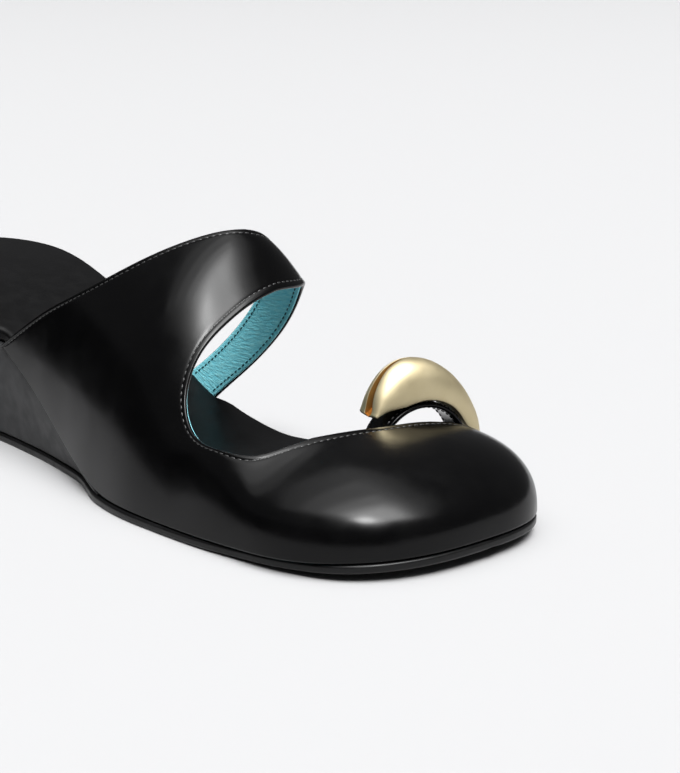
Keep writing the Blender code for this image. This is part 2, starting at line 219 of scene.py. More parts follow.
def last_surface(share, girth):
    """Skin of the last. Beyond the toe's start, the places shrink toward its middle."""
    past = np.clip((share - TOE_ROUND) / (1 - TOE_ROUND), 0, None)
    reach = np.maximum((past ** TOE_POWER + np.abs(girth) ** TOE_POWER) ** (1 / TOE_POWER), 1e-9)
    turn = np.minimum(reach, 1) * math.pi / 2
    power = along(RIDGE, share, 3)
    swell = 1 + along(SWELL, share) * np.sin(2 * turn) ** 2
    shrink = np.sin(turn) ** (2 / power) * swell / reach
    share = np.where(past > 0, TOE_ROUND + past * shrink * (1 - TOE_ROUND), share)
    middle = BALL_WIDTH * along(RIDGE, share)
    outer = BALL_WIDTH * along(PLAN, share, 1)
    inner = BALL_WIDTH * along(PLAN, share, 2)
    half = np.where(girth < 0, middle - outer, inner - middle)
    low = feather_height(share * LENGTH)
    high = INSTEP_HEIGHT * along(RIDGE, share, 2)
    height = low + (high - low) * np.cos(turn) ** (2 / power)
    return np.stack([share * LENGTH, middle + half * girth * shrink, height], axis=-1) - np.array(ORIGIN)


ball = 0.745 * LENGTH
print("width of the outline at the ball in mm:", round(float(edge(ball, 1) - edge(ball, -1)) / MM, 1))


# %% [markdown]
# ## The cut of the upper
# The upper is one piece of leather: a panel on the outer side that sweeps up into the instep strap
# and forward into the closed toe, with a large cut-out on the inner side. Each row gives a point of
# the cut-out's edge and the point of the outer edge that faces it. From the corner row on, the outer
# edge is the feather line, where the leather turns in under the foot.

# %% Cut of the upper
# cut-out edge (along, girth), outer edge (along, girth)
UPPER = np.array([
    (0.463, 1.000, 0.417, 1.000), (0.509, 0.862, 0.459, 0.872), (0.580, 0.664, 0.518, 0.692),
    (0.635, 0.460, 0.577, 0.480), (0.671, 0.270, 0.617, 0.260), (0.685, 0.070, 0.630, 0.050),
    (0.688, -0.120, 0.614, -0.125), (0.687, -0.290, 0.569, -0.300), (0.685, -0.430, 0.500, -0.500),
    (0.692, -0.550, 0.412, -0.715), (0.714, -0.618, 0.313, -1.000), (0.745, -0.642, 0.490, -1.000),
    (0.778, -0.618, 0.657, -1.000), (0.807, -0.525, 0.794, -1.000), (0.822, -0.370, 0.900, -0.890),
    (0.830, -0.200, 0.970, -0.660), (0.836, -0.020, 0.996, -0.330), (0.842, 0.140, 0.999, 0.120),
    (0.848, 0.310, 0.984, 0.530), (0.853, 0.480, 0.937, 0.790), (0.857, 0.660, 0.863, 0.990),
])
CORNER_ROW = 10
CORNER_RUN = CORNER_ROW / (len(UPPER) - 1)


def onto_feather(share, girth):
    """Moves a place out to the feather line."""
    past = np.clip((share - TOE_ROUND) / (1 - TOE_ROUND), 0, None)
    reach = (past ** TOE_POWER + np.abs(girth) ** TOE_POWER) ** (1 / TOE_POWER)
    return np.where(past > 0, TOE_ROUND + past / reach * (1 - TOE_ROUND), share), girth / reach


def upper_skin(run, across):
    """Point of the upper's outer face: run goes from the strap's inner end round to the toe's inner
    end, across from the cut-out to the outer edge."""
    row = run * (len(UPPER) - 1)
    inner = bend(UPPER[:, 0], row), bend(UPPER[:, 1], row)
    top_row = np.minimum(row, CORNER_ROW)
    topline = [bend(UPPER[:CORNER_ROW + 1, c], top_row) for c in (2, 3)]
    low_row = np.maximum(row - CORNER_ROW, 0)
    feather = onto_feather(*[bend(UPPER[CORNER_ROW:, c], low_row) for c in (2, 3)])
    outer = [np.where(row <= CORNER_ROW, top, low) for top, low in zip(topline, feather)]
    return last_surface(*[a + (b - a) * across for a, b in zip(inner, outer)])


def upper_normal(run, across):
    """Direction out of the upper at a place on its face."""
    step = 0.002
    run, across = np.clip(run, step, 1 - step), np.clip(across, step, 1 - step)
    by_run = upper_skin(run + step, across) - upper_skin(run - step, across)
    by_across = upper_skin(run, across + step) - upper_skin(run, across - step)
    normal = np.cross(by_across, by_run)
    return normal / np.linalg.norm(normal, axis=-1, keepdims=True)


top_of_strap = upper_normal(np.array([0.3]), np.array([0.5]))[0]
print("direction out of the strap's top:", np.round(top_of_strap, 2))

# %% [markdown]
# ## One helper for wrapped pieces
# Most pieces of a shoe are a strip with a closed cross-section: a wall with round edges, a sole with
# a round rim, a strap. Blender's `create_grid` gives a sheet of quads, and a function moves it onto
# such a form. The seam where the sheet meets itself is then merged, the open ends are filled, and the
# normals are made to point out. This keeps the faces in even rows, which shade well.

# %% Wrap a grid round a form
MERGE = 1e-6


def wrapped(name, steps, around, place, sharp=50):
    """A grid moved by place(u, v), with u and v from 0 to 1, closed into one body."""
    mesh = bmesh.new()
    mesh.loops.layers.uv.new("UVMap")
    bmesh.ops.create_grid(mesh, x_segments=steps, y_segments=around, size=1.0, calc_uvs=True)
    shares = np.array([vert.co[:2] for vert in mesh.verts]) / 2 + 0.5
    for vert, point in zip(mesh.verts, place(shares[:, 0], shares[:, 1])):
        vert.co = point
    bmesh.ops.remove_doubles(mesh, verts=mesh.verts, dist=MERGE)
    bmesh.ops.holes_fill(mesh, edges=[e for e in mesh.edges if e.is_boundary])
    bmesh.ops.recalc_face_normals(mesh, faces=mesh.faces)
    return finish_piece(name, mesh, sharp)


def finish_piece(name, mesh, sharp=50):
    """Turns a bmesh into an object that is shaded smooth up to an angle in degrees."""
    data = bpy.data.meshes.new(name)
    mesh.to_mesh(data)
    mesh.free()
    data.shade_smooth()
    data.set_sharp_from_angle(angle=math.radians(sharp))
    piece = bpy.data.objects.new(name, data)
    bpy.context.scene.collection.objects.link(piece)
    print(f"{name}: {len(data.polygons)} faces")
    return piece


def nearest_step(share, count):
    """Which of the grid's lines a share falls on."""
    return np.rint(share * count).astype(int)


# %% [markdown]
# ## The wall of the upper
# A real upper is a shell of about 2 mm: black leather of 1.2 mm outside and a thin lining of
# blue-green leather inside. The leather's edge is folded in and glued, so it is round and a little
# thicker up to the row of stitches, and the stitches pull a shallow groove. Distances are measured
# along the surface from the edge in metres, so the fold keeps its width where the strap narrows.

# %% A layer of the upper
LEATHER = 1.2 * MM
LINING = 0.7 * MM
STITCH_ROW = 2.1 * MM
GROOVE = 0.13 * MM
GROOVE_REACH = 0.42 * MM
FOLD = 0.10 * MM
FOLD_START, FOLD_FADE = 0.6 * STITCH_ROW, 0.8 * STITCH_ROW
GLUE = 0.05 * MM
LINING_BACK = 0.5 * MM
MOST_RIM = 0.45
RUN_STEPS = 330
EDGE_TURNS = 6


def arc_table(runs, count=40):
    """Distance along the surface from the cut-out's edge, for each run and share across."""
    shares = np.linspace(0, 1, count + 1)
    grid = np.stack([upper_skin(runs, np.full(len(runs), s)) for s in shares], axis=1)
    steps = np.linalg.norm(np.diff(grid, axis=1), axis=2)
    return shares, np.concatenate([np.zeros((len(runs), 1)), np.cumsum(steps, axis=1)], axis=1)


NEAR_EDGE = [d * MM for d in (0.8, 1.1, 1.4, 1.65, 1.85, 2.1, 2.35, 2.6, 3.0, 3.6, 4.4, 5.4)]


def layer_profile(thickness, near, outer_middle, inner_middle):
    """Closed cross-section of a layer. Each point is a part of the section, a distance or share, and
    a depth in thicknesses. The rims are half circles round the middle of the thickness."""
    turns = np.linspace(0, math.pi, EDGE_TURNS + 1)
    profile = [("near cut-out", d, 0.0) for d in near]
    profile += [("middle", s, 0.0) for s in np.linspace(0, 1, outer_middle + 2)]
    profile += [("near outer edge", d, 0.0) for d in near[::-1]]
    profile += [("outer rim", math.sin(t), (1 - math.cos(t)) / 2) for t in turns]
    profile += [("middle", s, 1.0) for s in np.linspace(1, 0, inner_middle + 2)]
    profile += [("cut-out rim", math.sin(t), (1 + math.cos(t)) / 2) for t in turns]
    return profile + [profile[0]]


def make_layer(name, start, thickness, margin, near, outer_middle, inner_middle):
    """A layer of the upper: start is its depth under the outer face, margin its step back at the
    edges."""
    profile = layer_profile(thickness, near, outer_middle, inner_middle)
    runs = np.linspace(0, 1, RUN_STEPS + 1)
    shares, arcs = arc_table(runs)
    low_edge = runs > CORNER_RUN
    radius = thickness / 2
    # how far from the edges the even spacing of the middle starts
    reach = near[-1] * 1.15 if near else 1.5 * radius

    def place(u, v):
        i, j = nearest_step(u, RUN_STEPS), nearest_step(v, len(profile) - 1)
        across, depth = np.zeros(len(u)), np.zeros(len(u))
        for k, (part, value, share) in enumerate(profile):
            here = np.where(j == k)[0]
            w = arcs[i[here], -1]
            shrink = np.minimum(1.0, MOST_RIM * w / reach)
            s = {
                "near cut-out": margin + value * shrink,
                "near outer edge": w - margin - value * shrink,
                "middle": margin + reach * shrink + (w - 2 * margin - 2 * reach * shrink) * value,
                "outer rim": w - margin - radius + radius * value,
                "cut-out rim": margin + radius - radius * value + 0 * w,
            }[part]
            d = np.full(len(here), start + thickness * share)
            if start == 0 and share < 0.5:
                for distance in (s, w - s + low_edge[i[here]]):
                    d += GROOVE * np.exp(-((distance - STITCH_ROW) / GROOVE_REACH) ** 2)
                    d -= FOLD * (1 - smooth((distance - FOLD_START) / FOLD_FADE))
            across[here] = [np.interp(a, arcs[r], shares) for a, r in zip(s, i[here])]
            depth[here] = d
        run = runs[i]
        return upper_skin(run, across) - upper_normal(run, across) * depth[:, None]

    return wrapped(name, RUN_STEPS, len(profile) - 1, place)


upper_leather = make_layer("upper_leather", 0.0, LEATHER, 0.0, NEAR_EDGE, 30, 24)
upper_lining = make_layer("upper_lining", LEATHER + GLUE, LINING, LINING_BACK, [], 24, 40)

# %% [markdown]
# ## Slabs: outsole, wedge and footbed
# The three layers under the foot share one outline. Each is a closed section wrapped round the
# outline: from the middle of the top face out to the rim, round the edge, down the side and back to
# the middle underneath. Working round the outline keeps the rim's radius the same at the heel, along
# the waist and at the toe.

# %% A slab with a round rim
RIM_TURNS = 6
SIDE_STEPS = 170
STRAP_SPAN = (0.401, 0.491)
OUTER_WALL_START = 0.297
TOE_WALL_START = 0.845
WALL_BLEND = 0.014


def outline(stop, inset, end_inset=0.0):
    """Closed outline as points and inward directions, outer side first, each side heel to front."""
    shares = (1 - np.cos(np.linspace(0, math.pi, SIDE_STEPS + 1))) / 2
    if stop < 0.9 * LENGTH:
        shares = 1 - np.cos(np.linspace(0, math.pi / 2, SIDE_STEPS + 1))
    x = stop * shares
    outer = edge(x, -1, inset(x, -1), end_inset)
    inner = edge(x, 1, inset(x, 1), end_inset)
    points = np.concatenate([np.stack([x, outer], 1), np.stack([x, inner], 1)[::-1]])
    ahead = np.roll(points, -1, axis=0) - np.roll(points, 1, axis=0)
    ahead /= np.maximum(np.linalg.norm(ahead, axis=1, keepdims=True), 1e-9)
    return points, np.stack([-ahead[:, 1], ahead[:, 0]], axis=1)


def make_slab(name, stop, low_inset, high_inset, bottom, top, radius, end_inset=0.0):
    """A slab between two heights that are functions of x, with rims of a radius."""
    low_line, low_in = outline(stop, low_inset, end_inset)
    high_line, high_in = outline(stop, high_inset, end_inset)
    count = len(low_line)
    turns = np.linspace(0, math.pi / 2, RIM_TURNS + 1)
    profile = [("top", share, 0, 0) for share in (0.0, 0.35, 0.65, 0.85, 0.95)]
    profile += [("high", 1, 1 - math.sin(t), 1 - math.cos(t)) for t in turns]
    profile += [("side", share, 0, 0) for share in (0.33, 0.67)]
    profile += [("low", 1, 1 - math.cos(t), 1 - math.sin(t)) for t in turns]
    profile += [("under", share, 0, 0) for share in (0.95, 0.65, 0.35, 0.0)]

    def place(u, v):
        i, j = nearest_step(u, count), nearest_step(v, len(profile) - 1)
        i = i % count
        points = np.zeros((len(u), 3))
        for k, (part, share, inset, drop) in enumerate(profile):
            here = np.where(j == k)[0]
            n = i[here]
            high = high_line[n] + high_in[n] * radius * (inset if part == "high" else part == "top")
            low = low_line[n] + low_in[n] * radius * (inset if part == "low" else part == "under")
            flat = high if part in ("top", "high") else low
            if part == "side":
                flat = high + (low - high) * share
            if part in ("top", "under"):
                place_x = high_line[n, 0]
                spine = np.stack([place_x, BALL_WIDTH * along(RIDGE, place_x / LENGTH)], 1)
                flat = spine + (flat - spine) * share
            over, under = top(flat[:, 0]), bottom(flat[:, 0])
            room = np.minimum(radius, MOST_RIM * (over - under))
            height = {
                "top": over,
                "high": over - room * drop,
                "side": over - room + (under - over + 2 * room) * share,
                "low": under + room * drop,
                "under": under,
            }[part]
            points[here] = np.concatenate([flat, height[:, None]], axis=1) - np.array(ORIGIN)
        return points

    return wrapped(name, count, len(profile) - 1, place)


# %% Outsole, wedge and footbed
SOLE_RIM, WEDGE_RIM, FOOTBED_RIM = 0.9 * MM, 0.5 * MM, 1.4 * MM
TUCK_STEP = 0.006


def tuck(x, side):
    """How far the sole steps in under the feather line."""
    return WAIST_TUCK * along(TUCK, x / LENGTH, step=TUCK_STEP)


def wall_room(x, side):
    """Room for the wall of the upper beside the footbed."""
    share = x / LENGTH
    spans = [(OUTER_WALL_START, 2.0)] if side < 0 else [STRAP_SPAN, (TOE_WALL_START, 2.0)]
    shown = [np.minimum(share - start, stop - share) / WALL_BLEND for start, stop in spans]
    return (WALL + FOOTBED_CLEAR) * smooth(np.max(shown, axis=0))


def wedge_stop():
    """Where the wedge has run out to a thin lip."""
    places = np.linspace(0.45, 0.6, 301) * LENGTH
    lift = (HEEL_HEIGHT - SOLE_THICKNESS) * along(RISE, places / LENGTH)
    return places[np.argmax(lift < 3 * CLEAR)]


def sole_top(x):
    """Height of the outsole's upper face."""
    return spring(x) + SOLE_THICKNESS


outsole = make_slab("outsole_rubber", LENGTH, tuck, tuck, spring, sole_top, SOLE_RIM)
wedge = make_slab(
    "wedge_cover", wedge_stop(),
    lambda x, side: tuck(x, side) + WEDGE_INSET, lambda x, side: WEDGE_INSET + 0 * x,
    lambda x: sole_top(x) + CLEAR, lambda x: feather_height(x) - CLEAR, WEDGE_RIM)
footbed = make_slab(
    "footbed_cover", LENGTH - WALL - FOOTBED_CLEAR, wall_room, wall_room,
    feather_height, lambda x: feather_height(x) + FOOTBED_THICKNESS, FOOTBED_RIM, WALL + FOOTBED_CLEAR)

# %% [markdown]
# ## The toe loop
# A strip of black leather is folded double, bent over the big toe and fixed under the footbed's
# cover. Turns are counted in degrees from its inner leg over the top to the outer leg.

# %% Toe loop
LOOP = Vector((0.8205 * LENGTH, 0.2830 * BALL_WIDTH, 0.0169))
LOOP_TURN = 0.2311
LOOP_RADIUS = 0.0138
LOOP_WIDTH = 0.0100
LOOP_THICKNESS = 0.0016
LOOP_SUNK = 1.0 * MM
LOOP_STEPS = 110
STRIP_SIDES = 28
STRIP_POWER = 5.0


def loop_point(radius, turn, depth, drop=0.0):
    """Point round the toe: radius from the loop's middle, turn in degrees, depth toward the toe."""
    angle = np.radians(turn)
    run = radius * np.cos(angle)
    x = LOOP.x + run * math.sin(LOOP_TURN) + depth * math.cos(LOOP_TURN)
    y = LOOP.y + run * math.cos(LOOP_TURN) - depth * math.sin(LOOP_TURN)
    return np.stack([x, y, LOOP.z + radius * np.sin(angle) - drop], axis=-1) - np.array(ORIGIN)


def strip_section():
    """Closed section of the folded strip, as offsets in thickness and width."""
    angles = np.linspace(0, 2 * math.pi, STRIP_SIDES + 1)
    soft = 2 / STRIP_POWER
    side, out = np.sin(angles), np.cos(angles)
    rise = LOOP_THICKNESS / 2 * np.sign(out) * np.abs(out) ** soft
    return rise, LOOP_WIDTH / 2 * np.sign(side) * np.abs(side) ** soft


def loop_path(u):
    """Turn and drop along the strip: straight leg, half circle, straight leg."""
    foot = feather_height(LOOP.x) + FOOTBED_THICKNESS - LOOP_SUNK
    leg = LOOP.z - foot
    length = 2 * leg + math.pi * LOOP_RADIUS
    s = u * length
    turn = np.clip((s - leg) / LOOP_RADIUS, 0, math.pi)
    return np.degrees(turn), np.maximum(leg - s, 0) + np.maximum(s - leg - math.pi * LOOP_RADIUS, 0)


def place_loop(u, v):
    """Point of the strip at a share of its length and a share of the way round its section."""
    rise, wide = strip_section()
    k = nearest_step(v, STRIP_SIDES)
    turn, drop = loop_path(u)
    return loop_point(LOOP_RADIUS + LOOP_THICKNESS / 2 + rise[k], turn, wide[k], drop)


toe_loop = wrapped("toe_loop_leather", LOOP_STEPS, STRIP_SIDES, place_loop)

# %% [markdown]
# ## The crescent
# The ornament is cast metal, polished and plated in pale gold. It is fat in the middle, comes to a
# point on the inner side and ends blunt on the outer side, where a slot is cut into its rim. Polished
# metal shows everything, so the section is a smooth closed curve with many points, and the slot is
# part of that section, so its two rims stay crisp without a cut.

# %% Crescent
# turn in degrees, bottom and top of the metal (shares of its height), half width (share of its width)
CRESCENT = [
    (-3.0, 0.38, 0.54, 0.10), (5.0, 0.24, 0.57, 0.20), (18.0, 0.10, 0.58, 0.29),
    (33.0, 0.00, 0.60, 0.37), (51.0, 0.00, 0.70, 0.44), (68.0, 0.00, 0.86, 0.49),
    (85.0, 0.00, 1.03, 0.50), (100.0, 0.00, 1.10, 0.50), (110.0, 0.01, 1.04, 0.49),
    (120.0, 0.10, 0.89, 0.47), (130.0, 0.26, 0.70, 0.43), (139.0, 0.38, 0.49, 0.38),
]
CRESCENT_HEIGHT = 0.0112
CRESCENT_WIDTH = 0.0124
CRESCENT_WAIST = 0.08
CRESCENT_POWER = 2.3
SLOT_START, SLOT_STOP = 90.0, 139.0
SLOT_BACK, SLOT_SINK = 0.15, 3.0
SLOT_WIDTH, SLOT_DEPTH = 0.0034, 0.0042
SLOT_ROUND = 0.18 * MM
# the lines of the section between which the slot's walls and floor lie
SLOT_WALLS = 10, 14
CRESCENT_STEPS = 150
END_TURN = 2.5


def crescent_section(turn):
    """Closed section at a turn, as radius and depth, with the slot let into the outer rim."""
    low, high, half = [float(along(CRESCENT, turn, c, step=2.0)) for c in (1, 2, 3)]
    seat = LOOP_RADIUS + LOOP_THICKNESS + CLEAR
    low, high, half = seat + CRESCENT_HEIGHT * low, seat + CRESCENT_HEIGHT * high, CRESCENT_WIDTH * half
    waist = low + CRESCENT_WAIST * (high - low)

    def dome(depth):
        """Radius of the outer face at a depth."""
        rest = max(1 - abs(depth / half) ** CRESCENT_POWER, 0)
        return waist + (high - waist) * rest ** (1 / CRESCENT_POWER)

    share = min(max((turn - SLOT_START) / (SLOT_STOP - SLOT_START), 0.0), 1.0)
    first = -SLOT_BACK * half
    last = first + min(SLOT_WIDTH * (0.04 + 0.96 * share), 0.7 * half)
    sink = SLOT_DEPTH * min(SLOT_SINK * share, 1.0)
    soft = min(SLOT_ROUND, 0.2 * sink, 0.3 * (last - first))
    floor = max(min(dome(first), dome(last)) - sink, low + 0.25 * (high - low)) if sink else dome(first)
    angles = np.linspace(-math.pi / 2, math.asin(max(-1.0, -abs(first / half) ** (CRESCENT_POWER / 2))), 9)
    section = []
    for a in angles[:-1]:
        depth = half * math.copysign(abs(math.sin(a)) ** (2 / CRESCENT_POWER), math.sin(a))
        section.append((dome(depth), depth))
    section += [(dome(first), first - soft), (dome(first) - soft * 0.3, first - 0.3 * soft)]
    section += [(dome(first) - soft, first), (floor, first)] if sink else [(dome(first), first)] * 2
    middle = (first + last) / 2
    section += [(floor if sink else dome(middle), middle)]
    section += [(floor, last), (dome(last) - soft, last)] if sink else [(dome(last), last)] * 2
    section += [(dome(last) - soft * 0.3, last + 0.3 * soft), (dome(last + soft), last + soft)]
    start = math.copysign(abs((last + soft) / half) ** (CRESCENT_POWER / 2), last + soft)
    for a in np.linspace(math.asin(max(-1.0, min(1.0, start))), math.pi / 2, 18)[1:]:
        depth = half * math.copysign(abs(math.sin(a)) ** (2 / CRESCENT_POWER), math.sin(a))
        section.append((dome(depth), depth))
    for a in np.linspace(0, math.pi, 25)[1:]:
        depth = half * math.copysign(abs(math.cos(a)) ** (2 / CRESCENT_POWER), math.cos(a))
        section.append((waist - (waist - low) * abs(math.sin(a)) ** (2 / CRESCENT_POWER), depth))
    return np.array(section)


def crescent_points():
    """All sections, with both ends drawn in to a round."""
    start, stop = CRESCENT[0][0], CRESCENT[-1][0]
    rows = []
    for turn in np.linspace(start - END_TURN, stop + END_TURN, CRESCENT_STEPS + 1):
        section = crescent_section(min(max(turn, start), stop))
        past = max(start - turn, turn - stop, 0.0) / END_TURN
        centre = section.mean(axis=0)
        section = centre + (section - centre) * math.sqrt(max(1 - past ** 2, 0.0004))
        rows.append(loop_point(section[:, 0], np.full(len(section), turn), section[:, 1]))
    return np.array(rows)


crescent_grid = crescent_points()


def place_crescent(u, v):
    """Point of the crescent at a share of its turn and a share of the way round its section."""
    return crescent_grid[nearest_step(u, CRESCENT_STEPS), nearest_step(v, crescent_grid.shape[1] - 1)]


crescent = wrapped("crescent_gold", CRESCENT_STEPS, crescent_grid.shape[1] - 1, place_crescent, sharp=38)


def mark_slot_painted_shade(piece):
    """Gives the faces inside the slot the second material, a darker amber gold that is painted shade and
    painted reflection of gold on gold. The UV map says where a face is.
    """
    places = piece.data.uv_layers["UVMap"].data
    turns = CRESCENT[-1][0] - CRESCENT[0][0] + 2 * END_TURN
    slot_from = (SLOT_START - CRESCENT[0][0] + END_TURN) / turns
    marked = 0
    for face in piece.data.polygons:
        u, v = np.mean([places[i].uv[:] for i in face.loop_indices], axis=0)
        if u > slot_from and SLOT_WALLS[0] < v * (crescent_grid.shape[1] - 1) < SLOT_WALLS[1]:
            face.material_index = 1
            marked += 1
    print("faces inside the slot:", marked)


# %% [markdown]
# ## Stitches
# A shoe's stitch is a short length of thread that dips into a hole at both ends. Seen close it is a
# small bead, a little over a millimetre long. Each one is a low sphere with few faces, stretched
# along the row. The rows follow the edge of the leather at one distance.

# %% Rows of stitches
STITCH_PITCH = 2.0 * MM
STITCH_LENGTH = 1.5 * MM
STITCH_RADIUS = 0.24 * MM
ROW_START, ROW_STOP = 0.012, 0.975
TOP_ROW_STOP = CORNER_RUN - 0.006
OUTER_DEPTH = GROOVE + 0.03 * MM
INNER_DEPTH = LEATHER + LINING + 0.08 * MM


def stitch(mesh, point, ahead, out, length, radius):
    """One stitch: a small sphere stretched along the row and sunk by half."""
    ahead, out = Vector(ahead).normalized(), Vector(out).normalized()
    side = out.cross(ahead).normalized()
    turned = Matrix((ahead, side, ahead.cross(side))).transposed().to_4x4()
    sized = Matrix.Diagonal((length / 2, radius, radius, 1.0))
    placed = Matrix.Translation(Vector(point)) @ turned @ sized
    bmesh.ops.create_uvsphere(mesh, u_segments=8, v_segments=6, radius=1.0, matrix=placed)


def stitch_row(mesh, points, outs, pitch=STITCH_PITCH, length=STITCH_LENGTH, radius=STITCH_RADIUS):
    """Stitches at an even pitch along a line of points, each with its direction out of the surface."""
    steps = np.linalg.norm(np.diff(points, axis=0), axis=1)
    reach = np.concatenate([[0], np.cumsum(steps)])
    places = np.arange(pitch, reach[-1] - pitch / 2, pitch)
    for s in places:
        point, out, before, after = [
            np.array([np.interp(at, reach, line[:, c]) for c in range(3)])
            for at, line in ((s, points), (s, outs), (s - pitch / 4, points), (s + pitch / 4, points))]
        stitch(mesh, point, after - before, out, length, radius)
    return len(places)


def edge_line(first_run, last_run, from_outer_edge, depth, count=700):
    """Line on the upper at the stitch row's distance from an edge."""
    runs = np.linspace(first_run, last_run, count)
    shares, arcs = arc_table(runs)
    distance = arcs[:, -1] - STITCH_ROW if from_outer_edge else np.full(count, STITCH_ROW)
    across = np.array([np.interp(s, arc, shares) for s, arc in zip(distance, arcs)])
    out = upper_normal(runs, across)
    return upper_skin(runs, across) - out * depth, out


def sew(name, depth):
    """The row along the cut-out and the row along the free outer edge, at a depth in the wall."""
    mesh = bmesh.new()
    counts = [stitch_row(mesh, *edge_line(ROW_START, ROW_STOP, False, depth)),
              stitch_row(mesh, *edge_line(ROW_START, TOP_ROW_STOP, True, depth))]
    print(f"{name}: stitches in each row:", counts)
    return finish_piece(name, mesh)


upper_stitches = sew("upper_stitches", OUTER_DEPTH)
lining_stitches = sew("lining_stitches", INNER_DEPTH)

# %% Stitches of the toe loop
SEAM_BACK = 1.4 * MM
SEAM_PITCH, SEAM_LENGTH, SEAM_RADIUS = 1.7 * MM, 1.2 * MM, 0.2 * MM

loop_seam = bmesh.new()
seam_turns, seam_drops = loop_path(np.linspace(0.03, 0.97, 200))
for side in (-1, 1):
    from_middle = np.full(len(seam_turns), side * (LOOP_WIDTH / 2 - SEAM_BACK))
    heart = loop_point(0.0, seam_turns, from_middle, seam_drops)
    for face in (0.0, LOOP_THICKNESS):
        line = loop_point(LOOP_RADIUS + face, seam_turns, from_middle, seam_drops)
        out = (line - heart) * (1 if face else -1)
        stitch_row(loop_seam, line, out, SEAM_PITCH, SEAM_LENGTH, SEAM_RADIUS)
loop_stitches = finish_piece("loop_stitches", loop_seam)

# %% [markdown]
# ## Leather, rubber, metal and thread
# Each finish is a small graph of nodes. A base of noise breaks up colour and roughness, a finer
# noise gives the grain as bump, and the gloss sits on the shader's own sockets. Patterns that follow
# the surface read the UV map, the rest read Object coordinates.

# %% Finish helpers
def new_finish(name, roughness, **sockets):
    """A material with its node tree and its shader, whose sockets can be set by name."""
    material = bpy.data.materials.new(name)
    material.use_nodes = True
    tree = material.node_tree
    shader = tree.nodes["Principled BSDF"]
    shader.inputs["Roughness"].default_value = roughness
    for socket, value in sockets.items():
        shader.inputs[socket.replace("_", " ")].default_value = value
    return material, tree, shader


def noise(tree, scale, detail, stretch=(1, 1, 1), source="Object", roughness=0.5):
    """Noise at a number of cells per metre, stretched along the axes."""
    place = tree.nodes.new("ShaderNodeTexCoord")
    turn = tree.nodes.new("ShaderNodeMapping")
    turn.inputs["Scale"].default_value = stretch
    cells = tree.nodes.new("ShaderNodeTexNoise")
    cells.inputs["Scale"].default_value = scale
    cells.inputs["Detail"].default_value = detail
    cells.inputs["Roughness"].default_value = roughness
    tree.links.new(place.outputs[source], turn.inputs["Vector"])
    tree.links.new(turn.outputs["Vector"], cells.inputs["Vector"])
    return cells.outputs["Fac"]


def colours(tree, factor, stops, target):
    """Blends colours by a factor into a socket: stops are (place, colour)."""
    ramp = tree.nodes.new("ShaderNodeValToRGB")
    while len(ramp.color_ramp.elements) < len(stops):
        ramp.color_ramp.elements.new(0.5)
    for element, (place, colour) in zip(ramp.color_ramp.elements, stops):
        element.position = place
        element.color = (*colour, 1.0)
    tree.links.new(factor, ramp.inputs["Fac"])
    tree.links.new(ramp.outputs["Color"], target)


def spread(tree, factor, low, high, target, start=0.35, stop=0.65):
    """Maps noise to a range of values in a socket."""
    reach = tree.nodes.new("ShaderNodeMapRange")
    for socket, value in (("From Min", start), ("From Max", stop), ("To Min", low), ("To Max", high)):
        reach.inputs[socket].default_value = value
    tree.links.new(factor, reach.inputs["Value"])
    tree.links.new(reach.outputs["Result"], target)


def relief(tree, shader, heights):
    """Bump from several heights, as (factor, strength, depth in metres)."""
    last = None
    for factor, strength, depth in heights:
        bump = tree.nodes.new("ShaderNodeBump")
        bump.inputs["Strength"].default_value = strength
        bump.inputs["Distance"].default_value = depth
        tree.links.new(factor, bump.inputs["Height"])
        if last is not None:
            tree.links.new(last, bump.inputs["Normal"])
        last = bump.outputs["Normal"]
    tree.links.new(last, shader.inputs["Normal"])


# %% [markdown]
# ## The glossy black leather
# Box calf that is polished to a deep gloss keeps a very fine grain, so its highlights are soft at
# their borders. A low roughness with a faint cloudiness gives that. The specular level is low, so the
# pale floor hardly shows in the black, and strong lights bring the highlights back.

# %% Black leather
def black_leather(name, roughness):
    """Polished black leather with a fine grain."""
    material, tree, shader = new_finish(name, roughness, Specular_IOR_Level=0.18)
    colours(tree, noise(tree, 60, 3), [(0.3, (0.0008, 0.0008, 0.0009)), (0.7, (0.0013, 0.0013, 0.0014))],
            shader.inputs["Base Color"])
    spread(tree, noise(tree, 140, 4), roughness - 0.03, roughness + 0.04, shader.inputs["Roughness"])
    relief(tree, shader, [(noise(tree, 2600, 2), 0.10, 0.00002), (noise(tree, 520, 3), 0.12, 0.00003)])
    return material


upper_black = black_leather("upper_black_leather", 0.21)
loop_black = black_leather("loop_black_leather", 0.17)

# %% [markdown]
# ## The blue-green lining
# Lining leather is thin and matte. Pulled round the strap it gathers into fine wrinkles across it,
# which the UV map can follow: its first direction runs along the strap. The same pattern paints the
# colour darker in the wrinkles' troughs and lighter on their crests, as painted shade.

# %% Lining leather
def lining_leather():
    """Matte blue-green leather with wrinkles across the strap, and painted shade that darkens the colour
    in their troughs.
    """
    material, tree, shader = new_finish("lining_leather", 0.55)
    wrinkles_and_painted_shade = noise(tree, 1.0, 3, stretch=(420, 9, 1), source="UV")
    # The colour follows the wrinkles: painted shade in their troughs, lighter on their crests.
    colours(tree, wrinkles_and_painted_shade, [(0.32, (0.22, 0.75, 0.88)), (0.66, (0.35, 0.88, 0.96))],
            shader.inputs["Base Color"])
    relief(tree, shader, [(noise(tree, 1800, 2), 0.3, 0.00006), (wrinkles_and_painted_shade, 0.8, 0.0003)])
    return material


lining_blue = lining_leather()

# %% [markdown]
# ## Matte leathers and rubber
# The wedge and the footbed are covered in the same quiet leather, darker on the footbed. The outsole
# is black rubber with a faint satin shine on its rounded edge.

